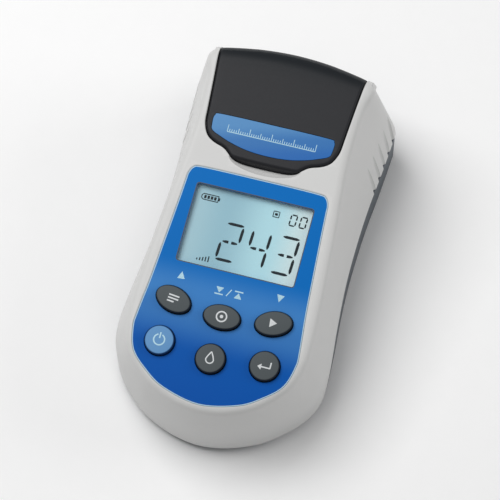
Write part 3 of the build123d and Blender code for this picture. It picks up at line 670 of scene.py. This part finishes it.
def ring_line(r, a0=0, a1=360, n=40, c=(0, 0)):
    return [(c[0] + r * math.cos(math.radians(a0 + (a1 - a0) * i / n)), c[1] + r * math.sin(math.radians(a0 + (a1 - a0) * i / n))) for i in range(n + 1)]


# ------------------------------------------------------------------ keypad overlay
overlay = prism("overlay_film", panel0, [(-0.6, -0.38), (-0.14, -0.38), (-0.07, -0.42), (-0.045, -0.5)], 8)
cut(overlay, prism("win", rounded_rect(WIN_W, WIN_H, 0.8), [(-3, 0), (-0.2, 0), (-0.045, 0.12), (1, 0.4)], 6, (0, WIN_V)))
for name, x, v, a, b, rot in KEYS:
    cut(overlay, prism("hole", ellipse(a + 0.3, b + 0.3), [(-3, 0), (-0.25, 0), (-0.045, 0.14), (1, 0.5)], 4, (x, v), rot))
shade(overlay, 30)
give(overlay, M["overlay"], "case", ["keypad_overlay"])
rim = prism("overlay_rim", panel0, [(-0.6, -0.06), (-0.16, -0.06), (-0.09, -0.12)], 8)
cut(rim, prism("rim_in", panel0, [(-3, -0.38), (2, -0.38)], 6))
shade(rim, 30)
give(rim, M["rim"], "case")

# dark ring round the display opening: partly a printed border, partly painted shadow along the recess edge
line = prism("window_line", rounded_rect(WIN_W, WIN_H, 0.8), [(-0.3, 0.34), (-0.03, 0.34)], 6, (0, WIN_V))
cut(line, prism("line_in", rounded_rect(WIN_W, WIN_H, 0.8), [(-1, 0.02), (1, 0.02)], 6, (0, WIN_V)))
shade(line, 30)
give(line, M["line"], "case")

tri_up = [([(-1.25 + 0.172 * i, -1.2 + 0.33 * i), (1.25 - 0.172 * i, -1.2 + 0.33 * i)], 0.36) for i in range(8)]
tri_dn = [([(x, -y) for x, y in pts], w) for pts, w in tri_up]
up_mark = strips("mark_up", tri_up, -0.03, (-17.6, -31.3), 4)
dn_mark = strips("mark_down", tri_dn, -0.03, (17.6, -31.4), -4)
bar_lines = [([(-0.7, -1.3), (0.7, 1.3)], 0.36)]
for s in (-1, 1):
    bar_lines.append(([(s * 3.4 - 1.5, s * 1.15), (s * 3.4 + 1.5, s * 1.15)], 0.45))
    for i in range(7):
        half_w = 1.25 - 0.19 * i
        bar_lines.append(([(s * 3.4 - half_w, s * (-1.2 + 0.28 * i)), (s * 3.4 + half_w, s * (-1.2 + 0.28 * i))], 0.32))
mm_mark = strips("mark_limits", bar_lines, -0.03, (0, -33.6))
for ob in (up_mark, dn_mark, mm_mark):
    give(ob, M["print"], "case")

# scale of plain ticks on the lid's label
ticks = [([(-16.0, 0), (16.0, 0)], 0.28)]
for i in range(-20, 21):
    ln = 2.6 if i % 10 == 0 else 1.9 if i % 5 == 0 else 1.1
    ticks.append(([(i * 0.8, 0.0), (i * 0.8, ln)], 0.24))
scale = strips("label_scale", ticks, -0.012, (0, 22.9))
give(scale, M["print"], "lid")

# ------------------------------------------------------------------ display
window = prism("window_pane", rounded_rect(44.9, 31.5, 1.0), [(-1.74, -0.08), (-1.66, 0), (-0.76, 0), (-0.68, -0.08)], 6, (0, WIN_V))
shade(window, 30)
give(window, M["window"], "case", ["display_window"])
cell = prism("display_cell", rounded_rect(44.3, 30.9, 0.5), [(-4.18, -0.1), (-4.05, 0), (-2.12, 0), (-2.02, -0.1)], 6, (0, WIN_V))
shade(cell, 30)
give(cell, M["lcd"], "case", ["display_glass"])

SEG = {"0": "abcdef", "2": "abged", "3": "abgcd", "4": "fgbc"}


def digit(ch, x, y, w, h, t, lean):
    """Seven-bar digit, (x, y) its lower left corner."""
    out = []
    g = t * 0.55
    at = lambda u, q: (x + u * w + lean * q, y + q * h)
    bars = {"a": [at(0.08, 1), at(1, 1)], "d": [at(0, 0), at(0.92, 0)], "b": [at(1, 0.95), at(1, 0.55)], "c": [at(1, 0.45), at(1, 0.05)],
            "f": [at(0, 0.95), at(0, 0.55)], "e": [at(0, 0.45), at(0, 0.05)]}
    for s in SEG[ch]:
        if s == "g":
            out.append(([at(0.08, 0.5), at(0.42, 0.5)], [t * 0.4, t, t]))
            out.append(([at(0.58, 0.5), at(0.92, 0.5)], [t, t, t * 0.4]))
        else:
            out.append((bars[s], [t * 0.35, t, t, t, t, t, t * 0.35]))
    return out


def lcd(a, b):
    """Point on the display given from its upper left corner."""
    return (a - WIN_W / 2, WIN_H / 2 - b)


segs = []
for ch, x in (("2", 12.9), ("4", 22.9), ("3", 32.9)):
    p = lcd(x, 24.6)
    segs += digit(ch, p[0], p[1], 6.3, 13.3, 1.0, 0.5)
for x in (34.6, 38.2):
    p = lcd(x, 6.9)
    segs += digit("0", p[0], p[1], 2.1, 3.9, 0.52, 0.2)
p = lcd(2.3, 4.9)
segs += [([(p[0] + 0.6, p[1]), (p[0] + 6.0, p[1]), (p[0] + 6.0, p[1] + 2.1), (p[0] + 0.6, p[1] + 2.1), (p[0], p[1] + 1.5), (p[0], p[1] + 0.6), (p[0] + 0.6, p[1])], 0.32)]
for i in range(4):
    segs.append(([(p[0] + 1.3 + 1.2 * i, p[1] + 0.45), (p[0] + 1.3 + 1.2 * i, p[1] + 1.65)], 0.85))
segs.append(([(p[0] + 6.35, p[1] + 0.5), (p[0] + 6.35, p[1] + 1.6)], 0.5))
p = lcd(28.4, 5.2)
segs += [([(p[0], p[1]), (p[0] + 2.1, p[1]), (p[0] + 2.1, p[1] + 2.1), (p[0], p[1] + 2.1), (p[0], p[1])], 0.3),
         ([(p[0] + 0.55, p[1] + 1.05), (p[0] + 1.55, p[1] + 1.05)], 0.9)]
p = lcd(6.6, 26.6)
for i in range(5):
    segs.append(([(p[0] + 1.0 * i, p[1]), (p[0] + 1.0 * i, p[1] + 0.7 + 0.35 * i)], 0.42))
readout = strips("display_readout", segs, -1.99, (0, WIN_V))
give(readout, M["segment"], "case")

# ------------------------------------------------------------------ keys
ICON = {
    "key_memory": [([(-1.9, 1.1), (1.9, 1.1)], 0.5), ([(-1.9, 0.0), (1.9, 0.0)], 0.5), ([(-1.9, -1.1), (0.6, -1.1)], 0.5)],
    "key_calibrate": [(ring_line(1.75), 0.5), (ring_line(0.3), 0.6)],
    "key_read": [([(-1.1 + 0.3 * i, -1.45 + 0.19 * i), (-1.1 + 0.3 * i, 1.45 - 0.19 * i)], 0.34) for i in range(8)],
    "key_power": [(ring_line(1.9, 112, 428), 0.5), ([(0, 0.5), (0, 2.6)], 0.5)],
    "key_test": [([(0, 2.3), (-0.9, 0.7), (-1.35, -0.4)] + ring_line(1.35, 180, 360, 20, (0, -0.5)) + [(0.9, 0.7), (0, 2.3)], 0.42)],
    "key_enter": [([(2.1, 1.5), (2.1, -0.6), (-1.2, -0.6)], 0.46), ([(-0.9, 0.4), (-0.9, -1.6)], 0.0)],
}
ICON["key_enter"] = [([(2.1, 1.5), (2.1, -0.6), (-1.0, -0.6)], 0.46)] + [([(-2.3 + 0.2 * i, -0.6 - 0.16 * i), (-2.3 + 0.2 * i, -0.6 + 0.16 * i)], 0.24) for i in range(1, 7)]

for name, x, v, a, b, rot in KEYS:
    crown = 0.16
    levels = [(-4.15, 0.75), (-3.05, 0.75), (-3.0, 0.0)] + [(-1.2, 0.0)]
    out = ellipse(a, b, 96)
    ct, st = math.cos(math.radians(rot)), math.sin(math.radians(rot))
    rings = []
    for hgt, by in levels + quarter(0.6, 1.88 - crown, 8):
        q = grow(out, by)
        rings.append((q, np.full(len(q), hgt)))
    rim_q = rings[-1][0]
    for k in (0.8, 0.6, 0.4, 0.2):
        rings.append((rim_q * k, np.full(len(out), 1.88 - crown * k * k)))
    world = []
    for q, h in rings:
        q = np.stack([q[:, 0] * ct - q[:, 1] * st + x, q[:, 0] * st + q[:, 1] * ct + v], 1)
        world.append(face_to_world(np.column_stack([q, h])))
    key = rings_solid(name + "_cap", world, 6)
    shade(key, 40, weighted=False)
    give(key, M["key_blue" if name == "key_power" else "key"], name, [name])
    ra, rb = a - 0.6, b - 0.6
    mark = strips(name + "_mark", ICON[name], 1.895, (x, v), rot * 0.35, dome=lambda q, ra=ra, rb=rb: -crown * min(1.0, (q[0] / ra) ** 2 + (q[1] / rb) ** 2))
    give(mark, M["print" if name == "key_power" else "legend"], name)

# ------------------------------------------------------------------ finish of the pieces that stay as built
KEEP = {"hinge_pin": "steel", "display_holder": "black", "main_board": "board", "board_parts": "chip", "switch_domes": "steel",
        "board_screws": "steel", "sample_chamber": "black", "infrared_emitter": "epoxy_a", "transmission_detector": "epoxy_b",
        "scatter_detector": "epoxy_b", "sensor_board": "board", "batteries": "cell", "battery_contacts": "nickel",
        "battery_cover": "dark", "rubber_feet": "foot", "case_screws": "steel", "lid_seal": "seal"}
for node, key in KEEP.items():
    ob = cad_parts[node]
    ob.data.materials.clear()
    ob.data.materials.append(M[key])
for node in ("upper_case", "lower_case", "sample_lid", "lid_label", "keypad_overlay", "display_window", "display_glass"):
    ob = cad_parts[node]
    ob.data.materials.clear()
    ob.data.materials.append(M[{"upper_case": "white", "lower_case": "dark", "sample_lid": "lid", "lid_label": "label",
                                "keypad_overlay": "overlay", "display_window": "window", "display_glass": "lcd"}[node]])
for name, *_ in KEYS:
    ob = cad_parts[name]
    ob.data.materials.clear()
    ob.data.materials.append(M["key_blue" if name == "key_power" else "key"])

# ------------------------------------------------------------------ floor, light and camera
v, f = [], []
G = 24
for i in range(G + 1):
    for j in range(G + 1):
        v.append((-1.5 + 3.0 * i / G, -1.5 + 3.0 * j / G, -0.00002))
for i in range(G):
    for j in range(G):
        a = i * (G + 1) + j
        f.append((a, a + G + 1, a + G + 2, a + 1))
floor = mesh_object("floor", v, f, 1.0)
floor.data.materials.append(material("floor_paper", lin(252, 252, 252), 0.85, 300, 0.02, 0.01, spec=0.2))


def area(name, at, to, size, power, colour=(1, 1, 1)):
    l = bpy.data.lights.new(name, "AREA")
    l.shape, l.size, l.size_y = "RECTANGLE", size[0], size[1]
    l.energy, l.color = power, colour
    o = bpy.data.objects.new(name, l)
    o.location = at
    o.rotation_euler = (Vector(to) - Vector(at)).to_track_quat("-Z", "Y").to_euler()
    bpy.context.scene.collection.objects.link(o)


area("key_light", (-0.42, 0.14, 0.85), (0, 0, 0.03), (0.7, 0.6), 6.3)
area("side_light", (0.75, 0.25, 0.45), (0, 0, 0.03), (0.5, 0.5), 1.7)
world = bpy.data.worlds.new("studio")
world.use_nodes = True
world.node_tree.nodes["Background"].inputs["Color"].default_value = (1, 1, 1, 1)
world.node_tree.nodes["Background"].inputs["Strength"].default_value = 0.30
bpy.context.scene.world = world
bpy.context.scene.view_settings.view_transform = "Standard"
bpy.context.scene.view_settings.look = "None"

az, el, roll = math.radians(16.64862746963769), math.radians(62.53974327230684), math.radians(-1.2536770963522432)
F = math.exp(7.666707668657498)
D = F / 2.75 * math.exp(-0.021887292562557746)
back = Vector((math.sin(az) * math.cos(el), -math.cos(az) * math.cos(el), math.sin(el)))
r0 = Vector((math.cos(az), math.sin(az), 0))
u0 = back.cross(r0)
right = math.cos(roll) * r0 + math.sin(roll) * u0
up = -math.sin(roll) * r0 + math.cos(roll) * u0
C = Vector((0, 0, 30)) + back * D - 0.9004142594582573 * right - 5.8714588280086835 * up
C.y -= 2.65
cam = bpy.data.cameras.new("camera")
cam.sensor_width = 36
cam.lens = F / 500 * 36
cam.clip_start, cam.clip_end = 0.01, 20
co = bpy.data.objects.new("camera", cam)
rot = Matrix((right, up, back)).transposed().to_4x4()
co.matrix_world = Matrix.Translation(C * MM) @ rot
bpy.context.scene.collection.objects.link(co)
bpy.context.scene.camera = co

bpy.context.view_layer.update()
